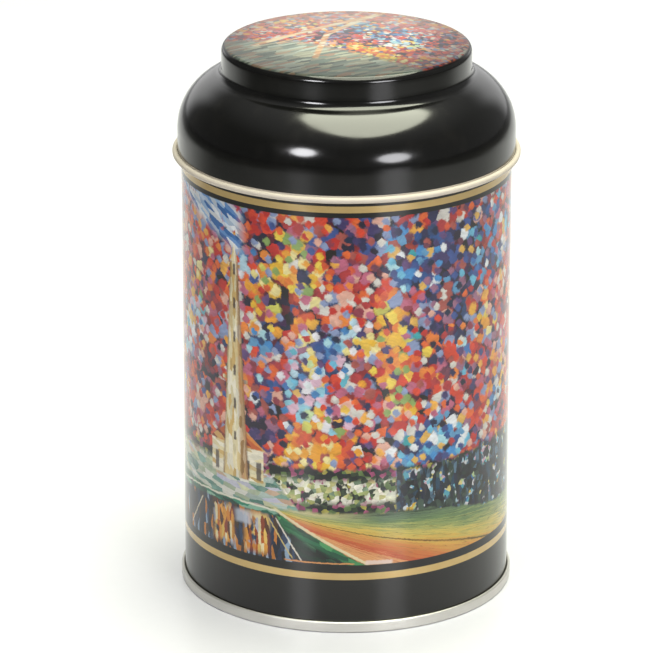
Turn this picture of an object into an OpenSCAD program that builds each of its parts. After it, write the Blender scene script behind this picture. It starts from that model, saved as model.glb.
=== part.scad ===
// Round coffee tin: straight seamed body, slip-over domed lid and a pressed plug lid inside.
// Units are millimetres. Z is up, the origin is the centre of the foot, and -Y is the front.
// Every sheet part is a lathe profile drawn along the middle of the sheet.

/* [Body] */
// Outer radius of the straight body wall
body_r = 42.5; // [41:0.5:46]
// Height of the body's rolled rim above the foot
rim_z = 125.2; // [70:0.2:200]
// Thickness of the tinplate sheet
sheet = 0.25; // [0.2:0.01:0.28]
// Diameter of the rolled rims of the body and the lid
curl_d = 1.6; // [1.4:0.05:1.7]

/* [Bottom end] */
// Height of the double seam
seam_h = 2.95; // [2.7:0.05:3.6]
// Height of the outer ring of the bottom panel
panel_z = 3.9; // [3.4:0.1:6]
// Radius of the raised middle of the bottom panel
panel_step_r = 35; // [24:0.5:36]
// Radius of the sunk centre of the bottom panel
centre_step_r = 18; // [8:0.5:21]

/* [Lid] */
// How much larger the skirt's outer radius is than the body's
skirt_gap = 0.9; // [0.7:0.05:1.2]
// How far the lid reaches down below the rim
lid_drop = 9.5; // [7:0.1:9.6]
// Height of the lid
lid_h = 29.7; // [27:0.1:36]
// Radius of the round shoulder
shoulder_r = 14.7; // [14:0.1:16.5]
// Outer radius of the raised top
top_r = 32; // [29:0.5:33]
// How much the raised top is crowned
crown = 0.8; // [0.4:0.1:1.6]
// Radius of the raised top's edge
top_edge_r = 1.8; // [1:0.1:2.4]
// Radius of the hollow between the shoulder and the raised top
fillet_r = 2.5; // [1:0.1:2.8]

/* [Inner lid] */
// How much smaller the plug's outer radius is than the body's
plug_gap = 1.9; // [1.8:0.05:2.5]
// Depth of the plug below the rim
plug_depth = 9.6; // [6:0.2:14]
// Thickness of the sealing ring
gasket_h = 0.7; // [0.5:0.05:0.8]
// Radius of the raised middle that carries the knob
boss_r = 14; // [11.5:0.5:20]

/* [Inner knob] */
// Largest radius of the knob
knob_r = 10; // [9:0.5:13]
// Height of the knob
knob_h = 11; // [10:0.5:13]
// Radius of the knob's neck
neck_r = 4.2; // [4:0.1:4.8]
// Radius of the rivet's shank
rivet_r = 1.5; // [1.2:0.1:1.8]

/* [Hidden] */

$fn = 180;
half = sheet / 2;             // from the middle of the sheet to its face
lay = 0.05;                   // space between the layers of the double seam
pitch = sheet + lay;          // from one seam layer to the next
curl_mid = (curl_d - sheet) / 2;

// Double seam: radii of the layers, from the inside out
wall_mid = body_r - half;
chuck_mid = wall_mid - pitch;
cover_hook_mid = wall_mid + pitch;
body_hook_mid = wall_mid + 2 * pitch;
seam_mid = wall_mid + 3 * pitch;
foot_bend = 0.4;              // bends beside the flat foot
fold_z = seam_h - half - pitch;
turn_z = sheet + lay + pitch + half;
cover_hook_z = 0.9;           // lower end of the end's hook
body_hook_z = seam_h - 0.75;  // upper end of the body's hook
compound_top_z = fold_z + 0.08;

// Bottom panel
chuck_bend = 0.7;
step_bend = 0.5;              // each step in a panel is two of these bends
panel_bend = 0.4;

// Body rim and side seam
curl_sweep = 290;
side_seam_w = 3.5;
side_seam_t = 2 * sheet;
side_seam_z = [panel_z + 1.6, rim_z - 2.7];
groove_w = 0.3;
groove_deep = 0.12;

// Lid
skirt_r = body_r + skirt_gap;
skirt_z = rim_z - lid_drop;
top_z = skirt_z + lid_h;
lid_curl_sweep = 300;
shoulder_mid_r = skirt_r - shoulder_r;
shoulder_z = skirt_z + 6.9;
fillet_at_r = top_r + fillet_r;
fillet_at_z = shoulder_z + sqrt(pow(shoulder_r + fillet_r, 2) - pow(fillet_at_r - shoulder_mid_r, 2));
crown_r = (top_r * top_r + crown * crown) / (2 * crown);
crown_z = top_z - crown_r;
edge_at_r = top_r - top_edge_r;
edge_at_z = crown_z + sqrt(pow(crown_r - top_edge_r, 2) - pow(edge_at_r, 2));

// Inner lid
rest_gap = 0.15;              // between the sealing ring and the rim
flange_z = rim_z + rest_gap + gasket_h + half;
flange_bend = 0.4;
flange_curl = 0.375;
flange_end_r = body_r - 0.9;
plug_r = body_r - plug_gap;
plug_mid = plug_r - half;
plug_bend = 1.2;
plug_floor_z = rim_z - plug_depth;
boss_z = plug_floor_z + 2 * panel_bend;
bead_r = 28;
bead_w = 1.2;
gasket_r = [plug_r + 0.35, plug_r + 1.45];

// Knob, rivet and washer
knob_z = boss_z + half;
hole_r = rivet_r + 0.1;
foot_r = 6.5;
foot_h = 0.9;
head_h = 3.8;
sink_r = 3.4;
sink_deep = 1.6;
rivet_head_r = 3;
rivet_head_h = 1.1;
washer_r = 5;
washer_h = 0.8;
tail_r = 2.6;
tail_h = 0.6;

// A pie slice from angle a to angle b that cuts an arc out of a ring
module slice(reach, a, b) {
    steps = ceil(abs(b - a) / 45);
    polygon(concat([[0, 0]], [for (i = [0:steps]) let (t = a + (b - a) * i / steps) reach * [cos(t), sin(t)]]));
}

// Sheet bent round the point [r, z], with its middle at radius mid
module bend(r, z, mid, a, b) {
    translate([r, z]) intersection() {
        difference() {
            circle(r = mid + half, $fn = 96);
            circle(r = mid - half, $fn = 96);
        }
        slice(2 * (mid + half), a, b);
    }
}

// Straight stretches of sheet, upright and level
module upright(r, z0, z1) {
    translate([r - half, z0]) square([sheet, z1 - z0]);
}

module level(z, r0, r1) {
    translate([r0, z - half]) square([r1 - r0, sheet]);
}

// A step outwards from radius r, down from height z by two bends
module step_down(r, z, mid) {
    bend(r, z - mid, mid, 0, 90);
    bend(r + 2 * mid, z - mid, mid, 180, 270);
}

// A step outwards from radius r, up from height z by two bends
module step_up(r, z, mid) {
    bend(r, z + mid, mid, 270, 360);
    bend(r + 2 * mid, z + mid, mid, 90, 180);
}

// Body: the wall hooks into the double seam and rolls inwards at the rim
module body_profile() {
    rim_mid_z = rim_z - curl_d / 2;
    upright(body_hook_mid, turn_z, body_hook_z);
    bend(cover_hook_mid, turn_z, pitch, 180, 360);
    upright(wall_mid, turn_z, rim_mid_z);
    bend(wall_mid - curl_mid, rim_mid_z, curl_mid, 0, curl_sweep);
}

// Folded side seam: extra layers inside and a fine groove outside, at the back
module side_seam_layers() {
    seam_len = side_seam_z[1] - side_seam_z[0];
    translate([0, 0, side_seam_z[0]]) intersection() {
        difference() {
            cylinder(r = body_r - half, h = seam_len);
            translate([0, 0, -1]) cylinder(r = body_r - sheet - side_seam_t, h = seam_len + 2);
        }
        translate([-side_seam_w / 2, 0, 0]) cube([side_seam_w, body_r, seam_len]);
    }
}

module side_seam_groove() {
    translate([-groove_w / 2, body_r - groove_deep, side_seam_z[0]])
        cube([groove_w, 1, side_seam_z[1] - side_seam_z[0]]);
}

module body_wall() {
    color([0.62, 0.38, 0.26]) difference() {
        union() {
            rotate_extrude() body_profile();
            side_seam_layers();
        }
        side_seam_groove();
    }
}

// Bottom end: stepped panel, chuck wall, flat foot, seam wall and cover hook
module bottom_profile() {
    middle_z = panel_z + 2 * step_bend;
    centre_z = middle_z - 2 * panel_bend;
    level(centre_z, 0, centre_step_r);
    step_up(centre_step_r, centre_z, panel_bend);
    level(middle_z, centre_step_r + 2 * panel_bend, panel_step_r);
    step_down(panel_step_r, middle_z, step_bend);
    level(panel_z, panel_step_r + 2 * step_bend, chuck_mid - chuck_bend);
    bend(chuck_mid - chuck_bend, panel_z - chuck_bend, chuck_bend, 0, 90);
    upright(chuck_mid, half + foot_bend, panel_z - chuck_bend);
    bend(chuck_mid + foot_bend, half + foot_bend, foot_bend, 180, 270);
    level(half, chuck_mid + foot_bend, seam_mid - foot_bend);
    bend(seam_mid - foot_bend, half + foot_bend, foot_bend, 270, 360);
    upright(seam_mid, half + foot_bend, fold_z);
    bend(body_hook_mid, fold_z, pitch, 0, 180);
    upright(cover_hook_mid, cover_hook_z, fold_z);
}

module bottom_end() {
    color([0.78, 0.77, 0.73]) rotate_extrude() bottom_profile();
}

// Ring of sealing compound in the fold, above the body's hook
module seam_compound() {
    color([0.36, 0.33, 0.28]) rotate_extrude()
        translate([body_hook_mid - half, body_hook_z]) square([sheet, compound_top_z - body_hook_z]);
}

// The lid's silhouette down to its skirt, moved inwards by inset
module lid_outline(inset) {
    shoulder = shoulder_r - inset;
    wall = top_r - inset;
    skirt_low = skirt_z + curl_d / 2;
    // skirt
    translate([0, skirt_low]) square([skirt_r - inset, shoulder_z - skirt_low]);
    // shoulder
    translate([shoulder_mid_r, shoulder_z]) intersection() {
        circle(r = shoulder, $fn = 360);
        square(shoulder);
    }
    translate([0, shoulder_z]) square([shoulder_mid_r, shoulder]);
    // hollow beside the raised top
    difference() {
        polygon([
            [shoulder_mid_r, shoulder_z],
            [fillet_at_r, fillet_at_z],
            [wall, fillet_at_z],
            [shoulder_mid_r, fillet_at_z]
        ]);
        translate([fillet_at_r, fillet_at_z]) circle(r = fillet_r + inset, $fn = 144);
    }
    // wall and rounded edge of the raised top
    translate([0, shoulder_z]) square([wall, edge_at_z - shoulder_z]);
    translate([edge_at_r, edge_at_z]) circle(r = top_edge_r - inset, $fn = 144);
    // crown
    intersection() {
        translate([0, crown_z]) circle(r = crown_r - inset, $fn = 5760);
        polygon([
            [0, crown_z],
            [0, top_z + 1],
            [edge_at_r * (1 + 2 / crown_r), top_z + 1],
            [edge_at_r, edge_at_z],
            [0, edge_at_z]
        ]);
    }
}

module lid_shell() {
    skirt_mid = skirt_r - half;
    color([0.07, 0.07, 0.07]) rotate_extrude() {
        difference() {
            lid_outline(0);
            lid_outline(sheet);
        }
        bend(skirt_mid + curl_mid, skirt_z + curl_d / 2, curl_mid, 180, 180 + lid_curl_sweep);
    }
}

// Inner lid: pressed pan whose flange rests over the rim, with its edge rolled up and inwards
module inner_lid_profile() {
    ridge_r = bead_r + 2 * panel_bend + bead_w;
    floor_end_r = plug_mid - plug_bend;
    level(boss_z, hole_r, boss_r);
    step_down(boss_r, boss_z, panel_bend);
    level(plug_floor_z, boss_r + 2 * panel_bend, bead_r);
    step_up(bead_r, plug_floor_z, panel_bend);
    level(boss_z, bead_r + 2 * panel_bend, ridge_r);
    step_down(ridge_r, boss_z, panel_bend);
    level(plug_floor_z, ridge_r + 2 * panel_bend, floor_end_r);
    bend(floor_end_r, plug_floor_z + plug_bend, plug_bend, 270, 360);
    upright(plug_mid, plug_floor_z + plug_bend, flange_z - flange_bend);
    bend(plug_mid + flange_bend, flange_z - flange_bend, flange_bend, 90, 180);
    level(flange_z, plug_mid + flange_bend, flange_end_r);
    bend(flange_end_r, flange_z + flange_curl, flange_curl, 270, 550);
}

module inner_lid() {
    color([0.80, 0.79, 0.76]) rotate_extrude() inner_lid_profile();
}

// Flat sealing ring under the flange
module inner_lid_gasket() {
    color([0.88, 0.86, 0.80]) rotate_extrude()
        translate([gasket_r[0], rim_z + rest_gap]) square([gasket_r[1] - gasket_r[0], gasket_h]);
}

// Waisted knob with a through hole and a sink for the rivet's head
module knob_profile() {
    waist_r = foot_r - neck_r;
    head_edge_r = head_h / 2;
    head_z = knob_h - head_h;
    difference() {
        union() {
            square([foot_r, foot_h]);
            difference() {
                translate([0, foot_h]) square([foot_r, head_z - foot_h + head_edge_r]);
                translate([foot_r, foot_h + waist_r]) circle(r = waist_r, $fn = 96);
                translate([neck_r, foot_h + waist_r]) square([waist_r + 1, head_z - foot_h]);
            }
            translate([0, head_z]) square([knob_r - head_edge_r, head_h]);
            translate([knob_r - head_edge_r, head_z + head_edge_r]) circle(r = head_edge_r, $fn = 96);
        }
        square([hole_r, knob_h]);
        translate([0, knob_h - sink_deep]) square([sink_r, sink_deep + 1]);
    }
}

module inner_lid_knob() {
    color([0.08, 0.08, 0.08]) translate([0, 0, knob_z]) rotate_extrude() knob_profile();
}

// Half of a flat dome of radius r and height h
module dome(r, h) {
    ball_r = (r * r + h * h) / (2 * h);
    intersection() {
        translate([0, h - ball_r]) circle(r = ball_r, $fn = 240);
        square([r, h]);
    }
}

// Rivet from the knob's sink through the inner lid to its closed tail under the washer
module knob_rivet() {
    head_z = knob_z + knob_h - sink_deep;
    tail_z = boss_z - half - washer_h;
    color([0.72, 0.72, 0.73]) rotate_extrude() {
        translate([0, head_z]) dome(rivet_head_r, rivet_head_h);
        translate([0, tail_z]) square([rivet_r, head_z - tail_z]);
        translate([0, tail_z]) mirror([0, 1]) dome(tail_r, tail_h);
    }
}

module knob_washer() {
    color([0.66, 0.66, 0.67]) translate([0, 0, boss_z - half - washer_h]) difference() {
        cylinder(r = washer_r, h = washer_h);
        translate([0, 0, -1]) cylinder(r = hole_r, h = washer_h + 2);
    }
}

body_wall();
bottom_end();
seam_compound();
lid_shell();
inner_lid();
inner_lid_gasket();
inner_lid_knob();
knob_rivet();
knob_washer();
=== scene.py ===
"""Looks of the coffee tin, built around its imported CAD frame.

The sheet parts are drawn again as fine lathe meshes on the CAD's own dimensions, so that their
gloss stays smooth. The picture on the tin is a made-up landscape in palette-knife dabs, built from
shader nodes in millimetres round the wall (u) and up the wall (v).
"""

import functools
import math

import bpy
import numpy as np
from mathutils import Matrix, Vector


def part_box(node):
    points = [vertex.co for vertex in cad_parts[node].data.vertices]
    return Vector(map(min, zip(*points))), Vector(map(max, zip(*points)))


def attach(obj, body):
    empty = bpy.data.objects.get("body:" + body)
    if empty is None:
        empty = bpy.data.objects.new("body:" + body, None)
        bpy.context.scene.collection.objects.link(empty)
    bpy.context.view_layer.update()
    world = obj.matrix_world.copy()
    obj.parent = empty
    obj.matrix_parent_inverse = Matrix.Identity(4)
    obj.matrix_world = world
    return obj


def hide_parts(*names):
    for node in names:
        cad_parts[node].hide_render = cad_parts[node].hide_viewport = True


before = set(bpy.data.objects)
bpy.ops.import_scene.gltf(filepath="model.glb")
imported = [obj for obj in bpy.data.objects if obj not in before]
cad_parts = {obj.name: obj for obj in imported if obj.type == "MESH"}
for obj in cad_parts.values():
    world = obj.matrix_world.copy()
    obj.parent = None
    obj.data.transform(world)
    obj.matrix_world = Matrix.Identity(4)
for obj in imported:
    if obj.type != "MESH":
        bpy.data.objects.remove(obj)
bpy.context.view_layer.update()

MM = 0.001

# Sheet and seam, in millimetres, as in the CAD
SHEET = 0.25
HALF = SHEET / 2
SEAM_GAP = 0.05
SEAM_PITCH = SHEET + SEAM_GAP
SEAM_HOOKS = 2 * SEAM_PITCH

# Heights and radii read from the frame, in millimetres
WALL_BOX = [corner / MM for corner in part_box("body_wall")]
END_BOX = [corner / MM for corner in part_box("bottom_end")]
LID_BOX = [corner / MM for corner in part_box("lid_shell")]
INNER_BOX = [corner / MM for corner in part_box("inner_lid")]
RIM_Z = WALL_BOX[1].z
SEAM_R = END_BOX[1].x
BODY_R = SEAM_R - 3 * SEAM_PITCH
CURL_D = 1.6
CURL_MID = (CURL_D - SHEET) / 2
SKIRT_R = LID_BOX[1].x - CURL_D + SHEET
SKIRT_Z = LID_BOX[0].z
TOP_Z = LID_BOX[1].z

ROUND_STEPS, LID_STEPS = 320, 360  # corners round a sheet part
ON_AXIS = 1e-6
SHARP_ANGLE = math.radians(40)


# ---------------------------------------------------------------- meshes

class SheetPath:
    """The middle line of a bent sheet in the r, z half-plane, drawn by walking along it."""

    def __init__(self, r, z, heading):
        self.points = [(r, z)]
        self.headings = [math.radians(heading)]

    def walk(self, length, steps=1):
        """Straight on by length."""
        for _ in range(steps):
            (r, z), h = self.points[-1], self.headings[-1]
            self.points.append((r + length / steps * math.cos(h), z + length / steps * math.sin(h)))
            self.headings.append(h)
        return self

    def walk_to_z(self, z, steps=1):
        return self.walk(abs(z - self.points[-1][1]), steps)

    def walk_to_r(self, r, steps=1):
        return self.walk(abs(r - self.points[-1][0]), steps)

    def turn(self, radius, degrees, step=9):
        """A bend of that radius: to the left if degrees is positive."""
        count = max(2, math.ceil(abs(degrees) / step))
        part = math.radians(degrees) / count
        chord = 2 * radius * math.sin(abs(part) / 2)
        for _ in range(count):
            (r, z), h = self.points[-1], self.headings[-1]
            along = h + part / 2
            self.points.append((r + chord * math.cos(along), z + chord * math.sin(along)))
            self.headings.append(h + part)
        return self

    def outline(self):
        """Both faces of the sheet as one line of (r, z, side), side 1 on the left of the walk."""
        faces = {}
        for side in (1, -1):
            faces[side] = [
                (max(r - side * HALF * math.sin(h), 0.0), z + side * HALF * math.cos(h), side)
                for (r, z), h in zip(self.points, self.headings)
            ]
        return faces[1] + faces[-1][::-1]


def lathe(name, outline, angles, materials, shape=None, closed=True, paint=None):
    """A closed solid of revolution from an outline of (r, z, side) in millimetres.

    shape(r, z, side, angle) may move a point, and paint(r, z, side) picks a material's index.
    """
    vertices, rings, picks = [], [], []
    for r, z, side in outline:
        if r < ON_AXIS:
            rings.append([len(vertices)] * len(angles))
            vertices.append((0.0, 0.0, z * MM))
            continue
        ring = []
        for a in angles:
            pr, pz = shape(r, z, side, a) if shape else (r, z)
            ring.append(len(vertices))
            vertices.append((pr * math.sin(a) * MM, -pr * math.cos(a) * MM, pz * MM))
        rings.append(ring)
    faces = []
    bands = list(zip(range(len(rings)), range(1, len(rings))))
    if closed:
        bands.append((len(rings) - 1, 0))
    for start, end in bands:
        low, high = rings[start], rings[end]
        (r0, z0, side), (r1, z1, _) = outline[start], outline[end]
        pick = paint((r0 + r1) / 2, (z0 + z1) / 2, side) if paint else 0
        for i in range(len(angles)):
            corners = (low[i - 1], low[i], high[i], high[i - 1])
            if low[0] == low[1] or high[0] == high[1]:
                corners = tuple(dict.fromkeys(corners))
            if len(corners) > 2:
                faces.append(corners)
                picks.append(pick)
    mesh = bpy.data.meshes.new(name)
    mesh.from_pydata(vertices, [], faces)
    for material in materials:
        mesh.materials.append(material)
    mesh.polygons.foreach_set("material_index", picks)
    mesh.shade_smooth()
    mesh.set_sharp_from_angle(angle=SHARP_ANGLE)
    piece = bpy.data.objects.new(name, mesh)
    bpy.context.scene.collection.objects.link(piece)
    return face_outwards(piece)


def face_outwards(piece):
    """Turns all faces the other way if the closed mesh is inside out."""
    mesh = piece.data
    mesh.calc_loop_triangles()
    points = np.empty(3 * len(mesh.vertices))
    mesh.vertices.foreach_get("co", points)
    corners = np.empty(3 * len(mesh.loop_triangles), dtype=int)
    mesh.loop_triangles.foreach_get("vertices", corners)
    a, b, c = points.reshape(-1, 3)[corners.reshape(-1, 3).T]
    if (a * np.cross(b, c)).sum() < 0:
        mesh.flip_normals()
    return piece


def even_angles(count):
    return [2 * math.pi * i / count for i in range(count)]


def angles_with_seam(count, offsets):
    """Even angles, with closer ones at the given distances, in millimetres, from the side seam."""
    near = max(offsets) * 1.6 / BODY_R  # even angles nearer to the seam than this give way
    kept = [a for a in even_angles(count) if abs(a - math.pi) > near]
    close = [math.pi + s * o / BODY_R for o in offsets for s in (-1, 1)] + [math.pi]
    return sorted(set(kept + close))


def finish_piece(piece, body, node):
    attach(piece, body)
    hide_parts(node)
    return piece


# ---------------------------------------------------------------- shader graphs

def srgb(code):
    """A linear colour from a code such as d06030."""
    parts = [int(code[i:i + 2], 16) / 255 for i in (0, 2, 4)]
    return tuple(c / 12.92 if c <= 0.04045 else ((c + 0.055) / 1.055) ** 2.4 for c in parts) + (1.0,)


@functools.lru_cache(maxsize=None)
def palette(codes, interpolation):
    """A small node group that turns a number from 0 to 1 into colours spread evenly."""
    tree = bpy.data.node_groups.new("palette", "ShaderNodeTree")
    tree.interface.new_socket("Value", in_out="INPUT", socket_type="NodeSocketFloat")
    tree.interface.new_socket("Color", in_out="OUTPUT", socket_type="NodeSocketColor")
    start = tree.nodes.new("NodeGroupInput")
    ramp = tree.nodes.new("ShaderNodeValToRGB")
    end = tree.nodes.new("NodeGroupOutput")
    stops = ramp.color_ramp.elements
    ramp.color_ramp.interpolation = interpolation
    last = len(codes) if interpolation == "CONSTANT" else len(codes) - 1
    for i, code in enumerate(codes):
        stop = stops[i] if i < 2 else stops.new(i / last)
        stop.position = i / last
        stop.color = srgb(code)
    tree.links.new(start.outputs[0], ramp.inputs[0])
    tree.links.new(ramp.outputs[0], end.inputs[0])
    return tree


CELL_JITTER = 0.9  # how far the middle of a cell strays from an even grid
CELL_POWER = 3.2  # how square the edge of a dab is; 2 would be round
NEXT_TO_NOTHING = 1e-9


class Graph:
    """A material's node tree, with short calls that add nodes and return their output as a Wire."""

    def __init__(self, name):
        self.material = bpy.data.materials.new(name)
        self.material.use_nodes = True
        self.tree = self.material.node_tree
        self.tree.nodes.clear()

    def add(self, kind, inputs=(), **settings):
        node = self.tree.nodes.new(kind)
        for key, value in settings.items():
            setattr(node, key, value)
        for key, value in dict(inputs).items():
            self.put(value, node.inputs[key])
        return node

    def put(self, value, socket):
        if isinstance(value, Wire):
            self.tree.links.new(value.socket, socket)
        else:
            socket.default_value = value

    def math(self, operation, *values, clamp=False):
        node = self.add("ShaderNodeMath", enumerate(values), operation=operation, use_clamp=clamp)
        return Wire(self, node.outputs[0])

    def vector(self, x, y, z=0.0):
        return Wire(self, self.add("ShaderNodeCombineXYZ", enumerate((x, y, z))).outputs[0])

    def position(self):
        """Object coordinates in millimetres, as x, y, z."""
        at = self.add("ShaderNodeTexCoord").outputs["Object"]
        split = self.add("ShaderNodeSeparateXYZ", {0: Wire(self, at)})
        return [Wire(self, out) * (1 / MM) for out in split.outputs]

    def smooth(self, value, low, high):
        """0 at low and 1 at high, with a soft step between; low may be the larger."""
        node = self.add(
            "ShaderNodeMapRange",
            {"Value": value, "From Min": low, "From Max": high},
            interpolation_type="SMOOTHSTEP",
        )
        return Wire(self, node.outputs[0])

    def inside(self, value, low, high, soft=0.15):
        """1 where value is between low and high, with soft edges."""
        return self.smooth(value, low - soft, low + soft) * self.smooth(value, high + soft, high - soft)

    def spot(self, vector, middle, radius, strength):
        """That strength near the middle, fading to 0 a little beyond the radius."""
        apart = self.add("ShaderNodeVectorMath", {0: vector, 1: middle}, operation="DISTANCE")
        node = self.add(
            "ShaderNodeMapRange",
            {
                "Value": Wire(self, apart.outputs["Value"]),
                "From Min": radius * 0.45, "From Max": radius * 1.25,
                "To Min": strength, "To Max": 0.0,
            },
            interpolation_type="SMOOTHSTEP",
        )
        return Wire(self, node.outputs[0])

    def noise(self, vector, scale, detail=2.0, roughness=0.5):
        """Noise from 0 to 1; scale is one over the size of its features, in millimetres."""
        node = self.add(
            "ShaderNodeTexNoise",
            {"Vector": vector, "Scale": scale, "Detail": detail, "Roughness": roughness},
        )
        return Wire(self, node.outputs[0])

    def push(self, vector, scale, amount):
        """Two independent noises from -amount to amount."""
        node = self.add("ShaderNodeTexNoise", {"Vector": vector, "Scale": scale, "Detail": 2.0})
        rgb = self.add("ShaderNodeSeparateColor", {0: Wire(self, node.outputs["Color"])})
        return [(Wire(self, out) - 0.5) * (2 * amount) for out in rgb.outputs[:2]]

    def cells(self, vector, metric="MINKOWSKI"):
        """Voronoi cells of size 1, as (distance, random number, another, a third, middle's u and v)."""
        node = self.add(
            "ShaderNodeTexVoronoi",
            {"Vector": vector, "Scale": 1.0, "Randomness": CELL_JITTER},
            voronoi_dimensions="2D", distance=metric,
        )
        if metric == "MINKOWSKI":
            node.inputs["Exponent"].default_value = CELL_POWER
        rgb = self.add("ShaderNodeSeparateColor", {0: Wire(self, node.outputs["Color"])})
        middle = self.add("ShaderNodeSeparateXYZ", {0: Wire(self, node.outputs["Position"])})
        return [Wire(self, s) for s in (node.outputs["Distance"], *rgb.outputs, *middle.outputs[:2])]

    def pick(self, value, codes):
        """One of the colours in codes, by a number from 0 to 1."""
        node = self.tree.nodes.new("ShaderNodeGroup")
        node.node_tree = palette(tuple(codes), "CONSTANT")
        self.put(value, node.inputs[0])
        return Wire(self, node.outputs[0])

    def blend(self, value, codes):
        """The colours in codes flowing into each other as value goes from 0 to 1."""
        node = self.tree.nodes.new("ShaderNodeGroup")
        node.node_tree = palette(tuple(codes), "LINEAR")
        self.put(value, node.inputs[0])
        return Wire(self, node.outputs[0])

    def mix(self, share, a, b, blend="MIX"):
        node = self.add("ShaderNodeMix", {0: share, 6: a, 7: b}, data_type="RGBA", blend_type=blend)
        return Wire(self, node.outputs[2])

    def brighten(self, colour, factor):
        """colour times a number that varies over the surface."""
        grey = self.add("ShaderNodeCombineColor", {0: factor, 1: factor, 2: factor})
        return self.mix(1.0, colour, Wire(self, grey.outputs[0]), "MULTIPLY")

    def after(self, colour, *values):
        """The same values, worked out only once colour is, so that the renderer holds fewer at a time."""
        nothing = self.math("MULTIPLY", colour, NEXT_TO_NOTHING)
        return [value + nothing for value in values]

    def bump(self, height, distance):
        node = self.add("ShaderNodeBump", {"Height": height, "Distance": distance * MM, "Strength": 1.0})
        return Wire(self, node.outputs[0])

    def surface(self, **inputs):
        """The shader: names such as base_color stand for Base Color."""
        named = {INPUT_NAMES.get(k, k.replace("_", " ").title()): v for k, v in inputs.items()}
        shader = self.add("ShaderNodeBsdfPrincipled", named)
        out = self.add("ShaderNodeOutputMaterial")
        self.tree.links.new(shader.outputs[0], out.inputs[0])
        return self.material


INPUT_NAMES = {"ior": "IOR", "coat_ior": "Coat IOR", "specular": "Specular IOR Level"}


class Wire:
    """A node's output that can be added, multiplied and so on."""

    def __init__(self, graph, socket):
        self.graph = graph
        self.socket = socket

    def __add__(self, other):
        return self.graph.math("ADD", self, other)

    def __sub__(self, other):
        return self.graph.math("SUBTRACT", self, other)

    def __rsub__(self, other):
        return self.graph.math("SUBTRACT", other, self)

    def __mul__(self, other):
        return self.graph.math("MULTIPLY", self, other)

    def __truediv__(self, other):
        return self.graph.math("DIVIDE", self, other)

    def __gt__(self, other):
        return self.graph.math("GREATER_THAN", self, other)

    def __lt__(self, other):
        return self.graph.math("LESS_THAN", self, other)

    def __abs__(self):
        return self.graph.math("ABSOLUTE", self)

    def clamped(self):
        return self.graph.math("ADD", self, 0.0, clamp=True)

    __radd__ = __add__


# ---------------------------------------------------------------- the printed picture

INK = 0.55  # how much of the light the white of the print returns
TOP_INK = 0.42
BLACK_INK = "060606"
RED = [
    "c83028", "e4482c", "b83a3c", "ee6c30", "94384a", "e05c38",
    "f48c38", "f6b44c", "ecb4a0", "e0dcd4", "90a0c8", "c46884",
]
GOLD = ["f4c034", "f4a830", "f8d850", "ec8030", "f6b840", "d8d464", "f09038", "f8e8a0", "dc5830", "90ac60"]
BLUE = ["4894d4", "2c5494", "70c0e0", "4478bc", "b4e2ec", "3ca8b0", "f0f4f8", "3c4c88", "64a0cc", "e8b85c"]
NIGHT = ["2c2c54", "44386c", "1c2848", "64487c", "2c4470", "743c50", "40589c", "a06c88", "241c34", "b05850"]
PALE = ["f0eef4", "bcdcec", "94d0e4", "f4e494", "c8e0a8", "64b8cc", "e8f0f4", "4484c0", "e4bcd0", "f4c850"]
GROUND = ["5c1428", "241838", "8c2428", "141c3c", "401c4c", "a83c2c", "181010", "304878"]
SHRUBS = ["0c1410", "7c2450", "1c2c20", "a8a048", "0c1014", "a04870", "2c3c24", "141c28", "5c7440", "101814"]
BLOSSOM = ["e8e8cc", "c8c484", "f4f0e0", "a4b070", "dcdccc", "7c9478", "f0e8d8", "3c4c38"]
TREES = ["14181c", "242c34", "1c2430", "2c4038", "101216", "24445c", "44584c", "202840", "587890", "38343c"]
BANK = ["1c6440", "2c7c4c", "185038", "4c9c60", "246c48", "144030"]
BANK_SHADE = ["0c1c14", "103424", "081410", "1c3c30", "0c1410", "1c2020"]
KERB = ["1c6450", "2c8468", "144438", "88b8a0"]
FIELDS = ["2c3c28", "60785c", "74905c", "a4ac64", "d8c464", "e4b450", "dc944c", "d87c40", "cc5430", "e8a468"]
TILES = ["c8602c", "e08c40", "8c3420", "d8a860"]
POOL = ["98a498", "c0c4ac", "7c8c84", "b0b09c", "b89880", "64746c", "bcc8bc", "88a094"]
BEAMS = ["f0dcb8", "e0a878", "f4ecd4", "c88468", "e8c090"]
WATER = ["10182c", "2c4060", "080c14", "c87c30", "1c2c48", "90a8c0", "48301c", "141c30"]
GLOW = ["e8a03c", "f4c864", "c8641c", "f0e0b0", "98401c", "d8882c", "60341c", "c8c8d4"]
SHORE = ["dce0d0", "b8ccc4", "7caca0", "f0eee4", "b0c0a4", "d8dab4", "5c8c80", "d4b498", "c8c8dc"]
SKY = ["a0c4ec", "f0f4f8", "6c9cd8", "c4d8f0", "3c74b8", "dce8f4"]
STONE = ["f4e8c0", "e4cc94", "fbf3dc", "dcb870", "efe0b4"]
STONE_DARK = ["a8702c", "c8985a", "7c4c2c", "c07838"]

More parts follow.
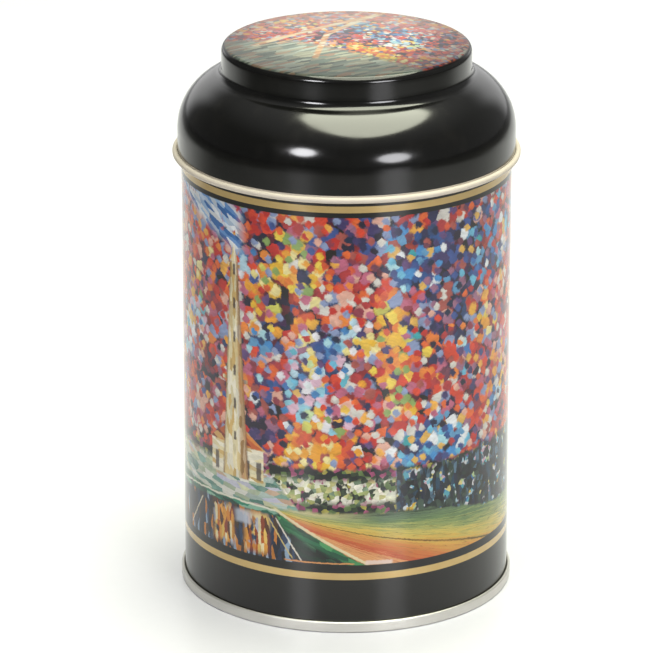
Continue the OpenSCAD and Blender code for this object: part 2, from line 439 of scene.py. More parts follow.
# Where the leaves change palette: a palette, its share everywhere, and spots of u, v, radius and strength
WALL_PATCHES = (
    (GOLD, 0.14, (
        (-15, 95, 12, 0.65), (11, 82, 7, 1.0), (12, 72, 6, 0.8), (-8, 52, 10, 0.75), (-20, 84, 9, 0.45),
        (24, 78, 6, 0.5), (14, 60, 5, 0.5), (36, 76, 8, 0.5), (-46, 84, 10, 0.25), (48, 62, 9, 0.3),
    )),
    (PALE, 0.09, (
        (-8, 73, 9, 0.7), (-22, 58, 8, 0.35), (36, 66, 8, 0.3), (-12, 64, 7, 0.8), (2, 80, 5, 0.6),
        (-2, 58, 5, 0.4), (17, 97, 5, 0.5), (32, 98, 6, 0.45), (-50, 76, 12, 0.3), (-26, 97, 4, 0.6),
        (46, 52, 8, 0.35),
    )),
    (BLUE, 0.10, (
        (17, 100, 9, 1.1), (32, 99, 11, 1.1), (28, 90, 9, 0.55), (26, 50, 9, 0.9), (16, 48, 6, 0.7),
        (-20, 60, 9, 0.5), (20, 80, 5, 0.5), (34, 72, 8, 0.5), (-22, 76, 5, 0.4), (-4, 77, 5, 0.5),
        (48, 100, 12, 0.5),
    )),
    (NIGHT, 0.11, (
        (28, 90, 10, 0.45), (28, 77, 9, 0.35), (-21, 58, 9, 0.4), (28, 106, 14, 0.35), (0, 109, 9, 0.45),
        (38, 64, 9, 0.3), (-24, 50, 6, 0.7), (8, 102, 6, 0.35), (-44, 64, 9, 0.3),
    )),
)
TOP_PATCHES = (
    (GOLD, 0.06, ((3, -11, 10, 0.95), (14, -18, 8, 0.6), (-14, 16, 7, 0.3))),
    (PALE, 0.05, ((14, -2, 6, 0.9), (9, 8, 5, 0.4))),
    (BLUE, 0.05, ((3, 12, 7, 0.85), (12, 6, 7, 0.7))),
    (NIGHT, 0.10, ((-3, -12, 6, 0.9), (-3, 3, 6, 0.6), (3, -27, 7, 0.6), (24, 2, 8, 0.3))),
)

# Three coats of leaves: width, height, lean and seed of the dabs, and how far one covers its cell
LEAF_COATS = ((3.2, 3.0, 20, 3, 0.60), (2.7, 2.9, -24, 5, 0.48), (2.0, 2.3, 40, 7, 0.42))
LEFT_OUT = 0.2  # share of the dabs that a coat leaves out
WALL_LEAF, TOP_LEAF = 1.18, 0.75  # size of the leaves
DAB_DARK, DAB_TILT, DAB_GRAIN = 0.66, 0.9, 0.68  # shade of a dab: least, across it, and in its grain

# Fine lines in the lower picture: start, end, width and colour
FINE_LINES = (
    ((-19, 32.4), (6, 18.4), 0.7, "f0e4b8"),
    ((-20.5, 29.5), (-14, 19.5), 0.4, "d8c078"),
    ((-18.5, 29.8), (-11.5, 19.0), 0.4, "f0e8d8"),
    ((-45, 29.0), (-52, 19.5), 0.4, "e8dcc0"),
    ((-16, 18.9), (2, 18.8), 0.4, "e8a060"),
    ((5, 19.1), (12, 18.9), 1.1, "f0d8cc"),
)

# Pale beams on the raised top: start, end and width
BEAM_LINES = (
    ((-24, -4), (9, 27), 2.0),
    ((-8, -16), (-5, 6), 1.6),
    ((-5, 6), (8, 27), 1.8),
    ((-18, -2), (-8, 6), 0.9),
)

FAR_LEFT, FAR_V = 24.0, 33.0  # the fields' far point: left of the front, and height


def turned(u, v, degrees):
    """u and v along axes turned anticlockwise by degrees."""
    c, s = math.cos(math.radians(degrees)), math.sin(math.radians(degrees))
    return u * c + v * s, v * c - u * s


def wavy(g, u, v, amount, size, seed):
    """u and v pushed about like the edge of a brush mark."""
    push_u, push_v = g.push(g.vector(u, v, 5.0 * seed), 1 / size, amount)
    return u + push_u, v + push_v


def dab_layer(g, u, v, wide, tall, lean, seed):
    """Knife dabs of that width and height: random numbers, distance, middle in millimetres and shade."""
    shift = 37.0 * seed  # so that no two layers show the same cells
    across, along = turned(u, v, lean)
    across, along = across * (1 / wide) + shift, along * (1 / tall) + shift
    at = g.vector(across, along)
    distance, pick, second, third, mu, mv = g.cells(at)
    slope = (across - mu) * (second - 0.5) + (along - mv) * (third - 0.5)
    grain = g.noise(g.vector(across * 0.45, along * 1.8), 3.2, 2.0)
    mid_u, mid_v = turned((mu - shift) * wide, (mv - shift) * tall, -lean)
    return {
        "pick": pick, "second": second, "third": third, "distance": distance,
        "middle": g.vector(mid_u, mid_v), "shade": DAB_DARK + slope * DAB_TILT + grain * DAB_GRAIN,
    }


def dab_colour(g, dabs, patches):
    """Red leaves, alike where they are close, with other palettes picked dab by dab in their patches."""
    patchy = g.noise(dabs["middle"], 1 / 6, 1.0)
    drift = (patchy - 0.5) * 0.35
    choice = g.math("FRACT", dabs["pick"] * 0.7 + patchy * 1.3)
    colour = g.pick(choice, RED)
    for codes, base, spots in patches:
        share = base
        for u, v, radius, strength in spots:
            share = g.spot(dabs["middle"], (u, v, 0), radius, strength) + share
        colour = g.mix(share + drift > dabs["second"], colour, g.pick(choice, codes))
    return g.brighten(colour, dabs["shade"])


def foliage(g, u, v, patches, size):
    """Leaves in three coats of dabs over a dark ground."""
    wu, wv = wavy(g, *wavy(g, u, v, 0.5, 1.5, 1.0), 0.22, 0.45, 6.0)
    ground = dab_layer(g, wu, wv, 1.7 * size, 2.1 * size, 12, 2)
    picture = g.brighten(g.pick(ground["pick"], GROUND), ground["shade"])
    for wide, tall, lean, seed, reach in LEAF_COATS:
        dabs = dab_layer(g, wu, wv, wide * size, tall * size, lean, seed)
        ragged = (g.noise(g.vector(u, v, seed), 1 / 0.7) - 0.5) * 0.35
        cover = 1 - g.smooth(dabs["distance"] + ragged, reach - 0.16, reach + 0.08)
        picture = g.mix(cover * (dabs["third"] > LEFT_OUT), picture, dab_colour(g, dabs, patches))
    return picture


def brush(g, u, v, length, width, lean, seed):
    """Long brush marks that lean by an angle from level, as a function that paints them in given colours."""
    along, across = turned(u, v, lean)
    at = g.vector(along * (1 / length) + 11.0 * seed, across * (1 / width) + 11.0 * seed)
    pick, second = g.cells(at, "EUCLIDEAN")[1:3]
    shade = 0.62 + second * 0.3 + g.noise(at, 3.0) * 0.45
    return lambda codes: g.brighten(g.pick(pick, codes), shade)


def line_mask(g, u, v, start, end, width):
    """A thin straight line from start to end."""
    du, dv = end[0] - start[0], end[1] - start[1]
    length = math.hypot(du, dv)
    along = ((u - start[0]) * du + (v - start[1]) * dv) * (1 / length)
    across = ((v - start[1]) * du - (u - start[0]) * dv) * (1 / length)
    return g.inside(along, 0.0, length, 0.4) * g.smooth(abs(across), width * 0.7, width * 0.3)


def meadow(g, u, v):
    """Fields that fan out from one far point, green far off and red in front, with dark furrows."""
    slope = (FAR_V - v) / (abs(u + FAR_LEFT) + 0.5)
    at = g.vector(u * 0.045, slope * 55.0)
    broad, fine = g.noise(at, 1.0), g.noise(at, 3.5, 3.0)
    tone = slope * 2.6 + (broad - 0.5) * 0.3 + (fine - 0.5) * 0.35
    fields = g.brighten(g.blend(tone, FIELDS), 0.62 + fine * 0.76)
    haze = g.inside(u, -FAR_LEFT, 1, 9) * g.smooth(slope, 0.14, 0.06) * 0.7
    fields = g.mix(haze, fields, srgb("e4d89c"))
    furrow = g.inside(slope + (fine - 0.5) * 0.01, 0.208, 0.217, 0.003) * 0.8
    dark = g.math("MAXIMUM", furrow, g.inside(broad, 0.50, 0.512, 0.01) * 0.6)
    return g.mix(dark, fields, srgb("2c2c14"))


def sky_mask(g, wu, wv, patchy):
    """A slanting band of gaps in the leaves at the upper left."""
    depth = (wv - 104.5) + (wu + 36) * 0.42
    band = g.inside(depth, -2.5, 9.0, 1.6) * g.inside(wu, -66, -28.5, 2.5)
    return band * g.smooth(patchy, 0.27, 0.4)


def with_trees(g, picture, places, patchy, rough, upright):
    """The picture with shrubs, pale blossom and trees along the ground."""
    u, v, wu, wv, fu, fv = places
    small = dab_layer(g, fu, fv, 1.4, 1.2, 15, 8)
    blossom = g.inside(wv, 35.2, 41.5, 1.0) * g.smooth(patchy, 0.4, 0.47)
    shrubs = g.mix(blossom, g.pick(small["pick"], SHRUBS), g.pick(small["pick"], BLOSSOM))
    shrubs = g.brighten(shrubs, small["shade"])
    picture = g.mix(g.smooth(wv - rough * 5, 45.1, 43.9), picture, shrubs)
    crowns = g.smooth(g.noise(g.vector(u, v * 0.8), 1 / 5.5), 0.42, 0.55)
    trees = g.mix(crowns, g.brighten(g.pick(small["pick"], TREES), small["shade"] * 0.7), upright(TREES))
    trees = g.mix(g.smooth(patchy, 0.57, 0.62), trees, g.brighten(g.pick(small["third"], PALE), 0.8))
    tree_top = 43.4 + g.smooth(u, 18, 48) * 1.5 - rough * 6
    wood = g.smooth(wv - tree_top, 0.8, -0.8) * g.smooth(abs(wu - 82), 69.5, 68.7)
    return g.mix(wood, picture, trees)


def with_fields(g, picture, places, rough, level):
    """The picture with a pale shore at the left and, below a ragged edge, the fields."""
    u, wu, wv, fu, fv = places
    shore = g.smooth(wv, 43, 40) * g.smooth(abs(wu + 50) + (wv - 38) * 0.9, 33.5, 32.5) * 0.9
    picture = g.mix(shore, picture, level(SHORE))
    fields = g.smooth(wv - rough * 2.2 + g.smooth(u, 15, 55) * 6, 33.1, 32.1)
    return g.mix(fields, picture, meadow(g, fu, fv))


def with_water(g, picture, places, patchy, strokes):
    """The picture with the green bank, the water at the left with its kerb, and fine lines."""
    wu, wv, fu, fv = places
    slanted, level, upright = strokes
    left = g.smooth(abs(wu + 50) + (wv - 25) * 1.2, 66.3, 65.7)
    low = 32.5 - wv
    fall = g.math("MAXIMUM", wu + 20, 0.0)
    below = low - fall * 0.56
    bank = g.mix(g.smooth(below, 2.0, 4.0), slanted(BANK), slanted(BANK_SHADE))
    picture = g.mix(g.smooth(below, -0.3, 0.3) * left, picture, bank)
    glow = (g.inside(wu, -39.5, -31.5, 1.0) + g.inside(wu, -28, -20.5, 1.0)) * g.inside(wv, 19.5, 30, 1.2)
    water = g.mix(glow * g.smooth(patchy, 0.34, 0.46), upright(WATER), upright(GLOW))
    water = g.mix(g.inside(wu, -31, -26, 1.0) * g.inside(wv, 26.5, 30, 0.6) * 0.8, water, srgb("c4ccdc"))
    above = wv - 31.5 + g.math("POWER", abs(wu + 32) * (1 / 30), 2.0) * 3.0
    pond = g.smooth(above, 0.3, -0.3) * g.smooth(low - (wu + 20) * 1.5, -0.8, 0.8) * left
    picture = g.mix(pond, picture, water)
    kerb = g.smooth(wu, -17, -19) * left
    picture = g.mix(g.inside(above, -0.6, 0.9, 0.25) * kerb, picture, level(KERB))
    picture = g.mix(g.inside(above, 0.7, 1.2, 0.2) * kerb, picture, srgb("f0ecd8"))
    for start, end, width, code in FINE_LINES:
        picture = g.mix(line_mask(g, fu, fv, start, end, width) * 0.9, picture, srgb(code))
    return picture


def landscape(g, u, v):
    """The whole picture: leaves, sky, a slim stone tower, trees, fields, bank and water."""
    picture = foliage(g, u, v, WALL_PATCHES, WALL_LEAF)
    u, v = g.after(picture, u, v)
    wu, wv = wavy(g, u, v, 0.5, 2.4, 2.0)
    fu, fv = wavy(g, u, v, 0.25, 0.8, 3.0)
    slanted = brush(g, fu, fv, 4.2, 1.0, -27, 4)
    level = brush(g, fu, fv, 4.2, 1.1, -5, 5)
    upright = brush(g, fu, fv, 0.95, 3.8, 2, 9)
    patchy = g.noise(g.vector(u, v * 0.7), 1 / 2.4)
    picture = g.mix(sky_mask(g, wu, wv, patchy), picture, slanted(SKY))
    rough = g.noise(g.vector(u, 0.0), 1 / 4, 3.0) - 0.5
    picture = with_trees(g, picture, (u, v, wu, wv, fu, fv), patchy, rough, upright)
    picture = with_fields(g, picture, (u, wu, wv, fu, fv), rough, level)
    wu, wv, fu, fv = g.after(picture, wu, wv, fu, fv)
    picture = with_water(g, picture, (wu, wv, fu, fv), patchy, (slanted, level, upright))
    fu, fv = g.after(picture, fu, fv)
    return g.mix(tower_mask(g, fu, fv), picture, tower_paint(g, fu, fv, upright, level, slanted))


TOWER_U, TOWER_FOOT, TOWER_TOP = -31.0, 38.5, 101.5
ROOF_FOOT = TOWER_TOP - 5
CHAPEL_HALF, CHAPEL_WALL = 9, 9
TOWER_LEDGES = ((TOWER_TOP - 6, 2.0), (TOWER_FOOT + 26.5, 4.3))  # height and half-width


def tower_half(v):
    """Half the tower's width at height v."""
    return (TOWER_TOP - v) * 0.052 + 1.0


def tower_mask(g, u, v):
    """A slim stone tower with two ledges and a pointed roof, beside a low chapel."""
    off = abs(u - TOWER_U)
    shaft = g.smooth(off - tower_half(v), 0.15, -0.15) * g.inside(v, TOWER_FOOT, ROOF_FOOT, 0.3)
    roof = g.smooth(off - (TOWER_TOP - v) * 0.26, 0.12, -0.12) * g.inside(v, ROOF_FOOT, TOWER_TOP + 1, 0.2)
    for level, reach in TOWER_LEDGES:
        ledge = g.smooth(off, reach + 0.2, reach - 0.2) * g.inside(v, level - 0.5, level + 0.5, 0.15)
        shaft = g.math("MAXIMUM", shaft, ledge)
    nave = g.inside(u, TOWER_U - CHAPEL_HALF, TOWER_U + CHAPEL_HALF, 0.2)
    nave = nave * g.inside(v, TOWER_FOOT, TOWER_FOOT + CHAPEL_WALL, 0.2)
    gable = g.smooth(off * 0.75 + v - TOWER_FOOT - 16, 0.2, -0.2) * g.inside(v, TOWER_FOOT + 8.8, 60, 0.2)
    return g.math("MAXIMUM", g.math("MAXIMUM", shaft, roof), g.math("MAXIMUM", nave, gable))


def tower_paint(g, u, v, upright, level, slanted):
    """Cream stone lit from the left, a warm chapel roof, and dark windows and doors."""
    off = u - TOWER_U
    half = tower_half(v)
    paint = g.mix(g.smooth(off / half, 0.25, 0.6) * 0.7, upright(STONE), upright(STONE_DARK))
    beside = g.smooth(abs(off) - half, -0.1, 0.1) * g.smooth(v, TOWER_FOOT + 16, TOWER_FOOT + 15.5)
    chapel = g.mix(g.smooth(v, TOWER_FOOT + 8.6, TOWER_FOOT + 9), level(STONE), slanted(TILES))
    paint = g.mix(beside, paint, chapel)
    window = g.smooth(abs(off), 0.5, 0.3) * g.inside(g.math("FRACT", v * (1 / 9.0)), 0.34, 0.66, 0.04)
    arches = g.inside(g.math("FRACT", u * (1 / 3.6)), 0.3, 0.7, 0.06)
    arches = arches * g.inside(v, TOWER_FOOT + 0.6, TOWER_FOOT + 5.5, 0.4)
    dark = g.math("MAXIMUM", window * (v > TOWER_FOOT + 10), arches * (abs(off) > half))
    outline = g.inside(abs(off) - half, -0.45, 0.35, 0.12) * (v < ROOF_FOOT)
    paint = g.mix(outline * 0.45, paint, srgb("6c3c24"))
    return g.mix(dark * 0.85, paint, srgb("3a2a34"))


# ---------------------------------------------------------------- materials

# Heights on the wall where the gold lines and the picture start and end
BAND_LOW, BAND_HIGH = (14.35, 16.2), (112.8, 114.5)
PICTURE = (18.4, 111.5)
SEAM_GOLD = (1.5, 1.8)  # distances from the side seam over which its gold strip ends


def gold_print(g, across):
    """Pale gold ink with a slight drift in tone."""
    tone = g.noise(across, 1 / 9, 2.0)
    return g.mix(tone, srgb("a68a52"), srgb("b89f6b"))


def varnished(g, colour, metallic, waves, depth, coat=1.0):
    """Ink under a coat of clear varnish that is slightly wavy."""
    return g.surface(
        base_color=colour, metallic=metallic, specular=0.0,
        roughness=waves * 0.05 + 0.38,
        coat_weight=coat, coat_roughness=0.075, coat_ior=1.5,
        normal=g.bump(waves, depth),
    )


def printed_wall():
    """Varnished print on the body: black margins, two gold lines, the picture, and gold at the side seam."""
    g = Graph("printed_wall")
    x, y, z = g.position()
    u = g.math("ARCTAN2", x, y * -1) * BODY_R
    picture = g.brighten(landscape(g, u, z), INK)
    black = g.mix(g.noise(g.vector(u, z), 1 / 3), srgb(BLACK_INK), srgb("0b0a09"))
    gold = g.inside(z, *BAND_LOW, 0.08) + g.inside(z, *BAND_HIGH, 0.08)
    colour = g.mix(g.inside(z, *PICTURE, 0.1), black, picture)
    colour = g.mix(gold, colour, gold_print(g, g.vector(u, z)))
    at_seam = 1 - g.smooth(abs(abs(u) - BODY_R * math.pi), *SEAM_GOLD)
    colour = g.mix(at_seam, colour, gold_print(g, g.vector(z, u)))
    waves = g.noise(g.vector(u, z * 0.35), 1 / 7, 2.0) + g.noise(g.vector(u, z), 1 / 1.1, 1.0) * 0.04
    return varnished(g, colour, (gold + at_seam).clamped() * 0.65, waves, 0.012)


def black_lacquer():
    """Glossy black lacquer with faint orange peel and a few soft marks."""
    g = Graph("black_lacquer")
    x, y, z = g.position()
    at = g.vector(x, y, z)
    peel = g.noise(at, 1 / 2.2, 1.0) * 0.25 + g.noise(at, 1 / 14, 2.0)
    haze = g.smooth(g.noise(at, 1 / 9, 4.0, 0.6), 0.45, 0.75)
    return g.surface(
        base_color=g.mix(haze, srgb("060605"), srgb("0d0c0a")),
        roughness=0.13 + haze * 0.05,
        ior=1.5,
        normal=g.bump(peel, 0.006),
    )


def top_print():
    """The picture on the raised top: leaves, a grey-green pool at the left and pale slanting beams."""
    g = Graph("top_print")
    x, y, _ = g.position()
    wu, wv = wavy(g, x, y, 1.0, 5.0, 8.0)
    fu, fv = wavy(g, x, y, 0.3, 1.0, 9.0)
    colour = foliage(g, x, y, TOP_PATCHES, TOP_LEAF)
    slanted = brush(g, fu, fv, 4.2, 1.0, 30, 4)
    colour = g.mix(g.smooth(wv + 5 + abs(wu + 12) * 0.35 + wu * 0.45, 2, -3), colour, slanted(POOL))
    for start, end, width in BEAM_LINES:
        colour = g.mix(line_mask(g, fu, fv, start, end, width) * 0.9, colour, slanted(BEAMS))
    # A grey wash over the picture: a little everywhere as the print's own tone, and more towards the back as
    # a painted reflection of the pale room seen at a grazing angle.
    colour = g.mix(0.15 + g.smooth(y, 0, 22) * 0.35, colour, srgb("b0a8a0"))
    from_back = g.math("SQRT", x * x * 1.2 + (y - 8) * (y - 8))
    colour = g.brighten(colour, g.smooth(from_back, 36, 16) * TOP_INK * 0.7 + TOP_INK * 0.3)
    from_axis = g.math("SQRT", x * x + y * y) + (g.noise(g.vector(x, y), 1 / 3) - 0.5) * 0.4
    colour = g.mix(g.smooth(from_axis, 30.9, 31.4), colour, srgb(BLACK_INK))
    return varnished(g, colour, 0.0, g.noise(g.vector(x, y), 1 / 9, 2.0), 0.01, 0.55)


def tinplate(name, light, dark, rough, metallic=1.0):
    """Satin sheet metal between two tones, with soft clouds and fine streaks."""
    g = Graph(name)
    x, y, z = g.position()
    angle = g.math("ARCTAN2", x, y * -1) * BODY_R
    clouds = g.noise(g.vector(x, y, z), 1 / 5, 3.0)
    lines = g.noise(g.vector(angle * 0.08, z * 2.4, g.math("SQRT", x * x + y * y) * 2.4), 1.0, 2.0)
    return g.surface(
        base_color=g.mix(clouds * 0.6 + lines * 0.4, srgb(dark), srgb(light)),
        metallic=metallic,
        roughness=rough + clouds * 0.1 + (lines - 0.5) * 0.08,
        normal=g.bump(lines + clouds * 2.0, 0.002),
    )


def soft_ring(name, light, dark, rough):
    """Rubbery silicone or compound, slightly mottled."""
    g = Graph(name)
    x, y, z = g.position()
    mottle = g.noise(g.vector(x, y, z), 1 / 1.5, 3.0)
    return g.surface(
        base_color=g.mix(mottle, srgb(dark), srgb(light)),
        roughness=rough + mottle * 0.1,
        normal=g.bump(mottle, 0.01),
    )


def moulded_black():
    """Moulded black plastic with a fine skin."""
    g = Graph("moulded_black")
    x, y, z = g.position()
    at = g.vector(x, y, z)
    skin = g.noise(at, 1 / 0.8, 2.0)
    return g.surface(
        base_color=g.mix(g.noise(at, 1 / 5, 2.0), srgb("0c0c0d"), srgb("141415")),
        roughness=0.2 + skin * 0.08,
        normal=g.bump(skin, 0.004),
    )


# ---------------------------------------------------------------- pieces

# Side seam, in millimetres: its groove outside, the strip of extra sheet inside, and its heights
SEAM_DEEP = 0.12
GROOVE = (0.08, 0.17)
SEAM_STRIP = 1.75
STRIP_SOFT = 0.05
SEAM_LAYERS = 2 * SHEET
SEAM_SPAN = (5.5, RIM_Z - 2.7)
SPAN_SOFT = 0.2


def ease(value, low, high):
    """0 at low and 1 at high, with a soft step between."""
    t = min(max((value - low) / (high - low), 0.0), 1.0)
    return t * t * (3 - 2 * t)


def wall_shape(r, z, side, angle):
    """The side seam's groove and inner layers, and a very slight unevenness of the rolled sheet."""
    starts = ease(z, SEAM_SPAN[0] - SPAN_SOFT, SEAM_SPAN[0] + SPAN_SOFT)
    ends = ease(z, SEAM_SPAN[1] - SPAN_SOFT, SEAM_SPAN[1] + SPAN_SOFT)
    span = starts * (1 - ends)
    if abs(r - BODY_R + HALF) > SHEET or not span:
        return r, z
    from_seam = abs(angle - math.pi) * BODY_R
    if r > BODY_R - HALF:
        r -= SEAM_DEEP * span * (1 - ease(from_seam, *GROOVE))
    else:
        r -= SEAM_LAYERS * span * (1 - ease(from_seam, SEAM_STRIP - STRIP_SOFT, SEAM_STRIP + STRIP_SOFT))
    away = ease(z, 8, 25) * (1 - ease(z, RIM_Z - 30, RIM_Z - 14))
    flutter = 0.5 + 0.25 * math.sin(5 * angle + 0.04 * z) + 0.25 * math.sin(3 * angle - 0.07 * z + 1.3)
    return r - 0.05 * away * flutter, z


def make_wall():
    wall_mid = BODY_R - HALF
    turn_z = SHEET + SEAM_GAP + SEAM_PITCH + HALF
    path = SheetPath(wall_mid + SEAM_HOOKS, 2.2, -90)
    path.walk_to_z(turn_z).turn(SEAM_PITCH, -180)
    path.walk_to_z(SEAM_SPAN[0] - SPAN_SOFT).walk(2 * SPAN_SOFT, 2)
    path.walk_to_z(SEAM_SPAN[1] - SPAN_SOFT, 40).walk(2 * SPAN_SOFT, 2)
    path.walk_to_z(RIM_Z - CURL_D / 2).turn(CURL_MID, 290)
    offsets = [GROOVE[0], 0.125, GROOVE[1], 1.0, SEAM_STRIP - STRIP_SOFT, SEAM_STRIP + STRIP_SOFT]
    angles = angles_with_seam(ROUND_STEPS, offsets)
    print_low, print_high = 2.4, RIM_Z - 1.3
    wall = lathe(
        "body_wall_print", path.outline(), angles, (printed_wall(), TINPLATE), wall_shape,
        paint=lambda r, z, side: 0 if r > BODY_R - HALF and print_low < z < print_high else 1,
    )
    return finish_piece(wall, "tin_body", "body_wall")


def seam_shape(r, z, side, angle):
    """Light marks of the seaming roller on the outside of the seam."""
    if r < SEAM_R - 0.6 or z > 3.2:
        return r, z
    press = 0.5 + 0.3 * math.sin(31 * angle + 0.6 * math.sin(3 * angle)) + 0.2 * math.sin(11 * angle + 2.0)
    return r - 0.045 * press * ease(r, SEAM_R - 0.5, SEAM_R - 0.2), z


END_SEAM_Z = 2.95 - HALF - SEAM_PITCH


def make_bottom():
    chuck_mid = BODY_R - HALF - SEAM_PITCH
    panel_z, step_bend, panel_bend = 3.9, 0.5, 0.4
    inner_bead_r, outer_bead_r, chuck_bend, edge_bend = 18, 35, 0.7, 0.4
    middle_z = panel_z + 2 * step_bend
    path = SheetPath(0.0, middle_z - 2 * panel_bend, 0)
    path.walk_to_r(inner_bead_r, 3).turn(panel_bend, 90).turn(panel_bend, -90)
    path.walk_to_r(outer_bead_r, 3).turn(step_bend, -90).turn(step_bend, 90)
    path.walk_to_r(chuck_mid - chuck_bend).turn(chuck_bend, -90)
    path.walk_to_z(HALF + edge_bend).turn(edge_bend, 90)
    path.walk_to_r(chuck_mid + 4 * SEAM_PITCH - edge_bend).turn(edge_bend, 90)
    path.walk_to_z(END_SEAM_Z, 4).turn(SEAM_PITCH, 180).walk_to_z(0.9)
    bottom = lathe(
        "bottom_end_plate", path.outline(), even_angles(ROUND_STEPS), (SEAM_TINPLATE,), seam_shape,
        closed=False,
    )
    return finish_piece(bottom, "tin_body", "bottom_end")


def lid_shape(r, z, side, angle):
    """The rolled edge is not quite even."""
    low = 1 - ease(z, SKIRT_Z + 1.5, SKIRT_Z + 4)
    if r < SKIRT_R - SHEET or not low:
        return r, z
    uneven = 0.5 + 0.3 * math.sin(9 * angle + 1.0) + 0.2 * math.sin(23 * angle)
    return r - 0.05 * low * uneven * ease(r, SKIRT_R, SKIRT_R + 1.0), z + 0.04 * low * uneven


# Lid, in millimetres: bends of the shoulder, raised top, its edge and the fillet below it
SHOULDER_R, TOP_R, CROWN, TOP_EDGE_R, FILLET_R = 14.7, 32.0, 0.8, 1.8, 2.5
SHOULDER_UP = 6.9
LACQUER, TOP_PRINT, BARE, ROLL = range(4)
ROLL_IN, ROLL_OUT = 0.05, -0.15  # where the paint of the roll ends, from its top


def make_lid():
    shoulder_z = SKIRT_Z + SHOULDER_UP
    shoulder_mid_r = SKIRT_R - SHOULDER_R
    fillet_angle = math.degrees(math.acos((TOP_R + FILLET_R - shoulder_mid_r) / (SHOULDER_R + FILLET_R)))
    fillet_z = shoulder_z + (SHOULDER_R + FILLET_R) * math.sin(math.radians(fillet_angle))
    crown_r = (TOP_R ** 2 + CROWN ** 2) / (2 * CROWN)
    crown_angle = math.degrees(math.asin((TOP_R - TOP_EDGE_R) / (crown_r - TOP_EDGE_R)))
    path = SheetPath(0.0, TOP_Z - HALF, 0)
    path.turn(crown_r - HALF, -crown_angle, crown_angle / 24)
    path.turn(TOP_EDGE_R - HALF, crown_angle - 90, 6)
    path.walk_to_z(fillet_z, 4)
    path.turn(FILLET_R + HALF, fillet_angle, 6)
    path.turn(SHOULDER_R - HALF, -fillet_angle, 2)
    path.walk_to_z(SKIRT_Z + CURL_D / 2, 6).turn(CURL_MID, 300)

    def paint(r, z, side):
        """Print on the raised top, lacquer down to the rolled edge, and bare tinplate inside."""
        if z < SKIRT_Z + CURL_D + (ROLL_IN if side < 0 else ROLL_OUT):
            return ROLL
        if side < 0:
            return BARE
        return TOP_PRINT if r < TOP_R - 0.45 and z > TOP_Z - CROWN - 1.2 else LACQUER

    coats = (black_lacquer(), top_print(), TINPLATE, ROLLED_EDGE)
    lid = lathe(
        "lid_pressing", path.outline(), even_angles(LID_STEPS), coats, lid_shape,
        closed=False, paint=paint,
    )
    return finish_piece(lid, "slip_lid", "lid_shell")


def make_inner_lid():
    plug_mid = 40.6 - HALF
    floor_z = INNER_BOX[0].z + HALF
    hole_r, inner_step_r, outer_step_r, flange_r = 1.6, 14, 28, 41.6
    bend, corner, ridge, curl = 0.4, 1.2, 1.2, 0.375
    path = SheetPath(hole_r, floor_z + 2 * bend, 0)
    path.walk_to_r(inner_step_r, 2).turn(bend, -90).turn(bend, 90)
    path.walk_to_r(outer_step_r, 2).turn(bend, 90).turn(bend, -90).walk(ridge)
    path.turn(bend, -90).turn(bend, 90).walk_to_r(plug_mid - corner).turn(corner, 90)
    flange_z = INNER_BOX[1].z - HALF - 2 * curl
    path.walk_to_z(flange_z - bend, 4).turn(bend, -90).walk_to_r(flange_r).turn(curl, 280)
    pan = lathe("inner_lid_pan", path.outline(), even_angles(ROUND_STEPS), (TINPLATE,))
    return finish_piece(pan, "plug_lid", "inner_lid")


def dress_cad_node(node, material):
    """A CAD node that keeps its own mesh gets a finished material."""
    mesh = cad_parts[node].data
    mesh.materials.clear()
    mesh.materials.append(material)


# ---------------------------------------------------------------- stage, lights and camera

def make_floor():
    """A wide floor of pale paper with painted light in its tone: palest round the tin and behind it, where
    it makes up for light that falls off there, and darker in front and to the sides as a painted shade for a
    dim room.
    """
    g = Graph("floor_paper")
    x, y, _ = g.position()
    drift = g.noise(g.vector(x, y), 1 / 400) * 40
    front = g.smooth(y + drift, -620, -90)
    beside = g.smooth(abs(x - 50) + drift, 580, 240)
    behind = g.smooth(y + drift, 20, 320) * g.smooth(abs(x), 700, 400)
    # Painted light: the pale share of the floor, brighter behind the tin than the lamps light it, with a
    # painted shade of mid grey in front and to the sides.
    white = g.math("MAXIMUM", front * beside, behind)
    fibres = g.noise(g.vector(x, y), 1 / 3, 3.0)
    colour = g.mix(white, srgb("505050"), g.mix(fibres, srgb("c0c0c8"), srgb("c3c3cb")))
    mesh = bpy.data.meshes.new("floor")
    far = 6.0
    corners = [(-far, -far, 0), (far, -far, 0), (far, far, 0), (-far, far, 0)]
    mesh.from_pydata(corners, [], [(0, 1, 2, 3)])
    mesh.materials.append(g.surface(base_color=colour, roughness=0.34, ior=1.5))
    floor = bpy.data.objects.new("floor", mesh)
    bpy.context.scene.collection.objects.link(floor)


def area_light(name, place, aim, width, depth, radiance, tint):
    """A soft oval panel of that radiance, facing the point aim."""
    lamp = bpy.data.lights.new(name, "AREA")
    lamp.shape = "ELLIPSE"
    lamp.size, lamp.size_y = width, depth
    lamp.energy = radiance * math.pi * width * depth * math.pi / 4
    lamp.color = tint
    holder = bpy.data.objects.new(name, lamp)
    holder.location = place
    holder.rotation_mode = "QUATERNION"
    holder.rotation_quaternion = (Vector(aim) - Vector(place)).to_track_quat("-Z", "Y")
    bpy.context.scene.collection.objects.link(holder)


def polar(azimuth, elevation, distance, height):
    """A point that far from the axis at that height; azimuth 0 is the front and 90 the right."""
    a, e = math.radians(azimuth), math.radians(elevation)
    return (
        distance * math.sin(a) * math.cos(e),
        -distance * math.cos(a) * math.cos(e),
        height + distance * math.sin(e),
    )


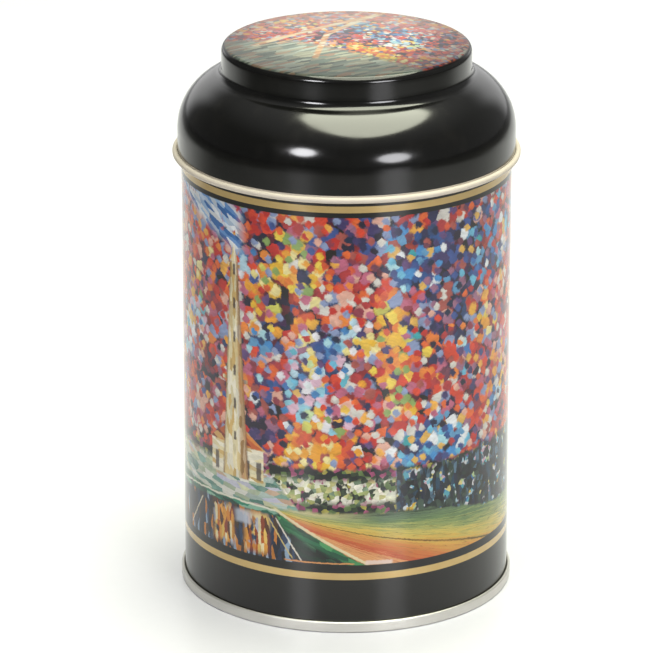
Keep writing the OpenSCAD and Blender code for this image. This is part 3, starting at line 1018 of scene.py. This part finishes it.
def light_studio():
    """An overhead softbox, two lamps in front, and a dim room, paler above and white behind the tin."""
    lid_height = 0.128
    aim = (0, 0, 0.1)
    area_light("overhead_box", (0.155, 0.04, 1.13), (0.155, 0.04, 0), 0.88, 1.32, 11.1, (0.98, 1.0, 0.8))
    area_light("left_lamp", polar(-30.7, 25, 2.6, lid_height), aim, 0.74, 0.68, 23.0, (0.97, 0.97, 1.0))
    area_light("right_lamp", polar(32.2, 14, 2.6, lid_height), aim, 1.0, 0.74, 14.0, (0.97, 0.97, 1.0))
    world = bpy.data.worlds.new("studio")
    world.use_nodes = True
    nodes, links = world.node_tree.nodes, world.node_tree.links
    at = nodes.new("ShaderNodeTexCoord")
    split = nodes.new("ShaderNodeSeparateXYZ")
    off = nodes.new("ShaderNodeMath")
    off.operation = "ABSOLUTE"
    links.new(at.outputs["Generated"], split.inputs[0])
    links.new(split.outputs["X"], off.inputs[0])

    def step(source, low, high, to_low=0.0, to_high=1.0):
        node = nodes.new("ShaderNodeMapRange")
        node.interpolation_type = "SMOOTHSTEP"
        links.new(source, node.inputs["Value"])
        for name, value in (("From Min", low), ("From Max", high), ("To Min", to_low), ("To Max", to_high)):
            node.inputs[name].default_value = value
        return node.outputs[0]

    def combine(operation, a, b):
        node = nodes.new("ShaderNodeMath")
        node.operation = operation
        links.new(a, node.inputs[0])
        links.new(b, node.inputs[1])
        return node.outputs[0]

    behind = combine("MULTIPLY", step(off.outputs[0], 0.7, 0.45), step(split.outputs["Y"], 0.1, 0.4))
    white = combine("MULTIPLY", behind, step(split.outputs["Z"], 0.58, 0.3))
    sideways = step(split.outputs["X"], -0.8, 0.8, 0.12, 0.24)
    dim = combine("ADD", sideways, step(split.outputs["Z"], 0.5, 0.95, 0.0, 0.3))
    grey = nodes.new("ShaderNodeCombineColor")
    for channel in grey.inputs:
        links.new(dim, channel)
    blend = nodes.new("ShaderNodeMix")
    blend.data_type = "RGBA"
    links.new(white, blend.inputs[0])
    links.new(grey.outputs[0], blend.inputs[6])
    blend.inputs[7].default_value = (1.15, 1.15, 1.15, 1)
    links.new(blend.outputs[2], nodes["Background"].inputs["Color"])
    bpy.context.scene.world = world


def make_camera():
    """Seen from 19 degrees above, 1.19 m away, with the tin a little right of the middle."""
    elevation = math.radians(19.34)
    reach, aim_height, aside = 1.186, 0.0681, -0.00515
    camera = bpy.data.cameras.new("camera")
    camera.sensor_width = 36.0
    camera.lens = 251.2
    holder = bpy.data.objects.new("camera", camera)
    place = Vector((0, -reach * math.cos(elevation), aim_height + reach * math.sin(elevation)))
    holder.location = place
    holder.rotation_mode = "QUATERNION"
    holder.rotation_quaternion = (Vector((aside, 0, aim_height)) - place).to_track_quat("-Z", "Y")
    bpy.context.scene.collection.objects.link(holder)
    bpy.context.scene.camera = holder


# ---------------------------------------------------------------- the tin

bpy.context.scene.view_settings.view_transform = "Standard"
make_camera()
TINPLATE = tinplate("rolled_tinplate", "e6e0d4", "c9c2b4", 0.2)
ROLLED_EDGE = tinplate("edge_tinplate", "bfb6aa", "b2a99d", 0.6, 0.25)
SEAM_TINPLATE = tinplate("seam_tinplate", "dcdad5", "c1bfba", 0.44)
make_wall()
make_bottom()
make_lid()
make_inner_lid()
dress_cad_node("seam_compound", soft_ring("sealing_compound", "8a8270", "6a6250", 0.6))
dress_cad_node("inner_lid_gasket", soft_ring("silicone_ring", "ece8dc", "dcd6c6", 0.45))
dress_cad_node("inner_lid_knob", moulded_black())
dress_cad_node("knob_rivet", tinplate("rivet_aluminium", "d8d8da", "b8b8ba", 0.32))
dress_cad_node("knob_washer", tinplate("washer_steel", "c4c4c6", "9a9a9c", 0.36))
make_floor()
light_studio()
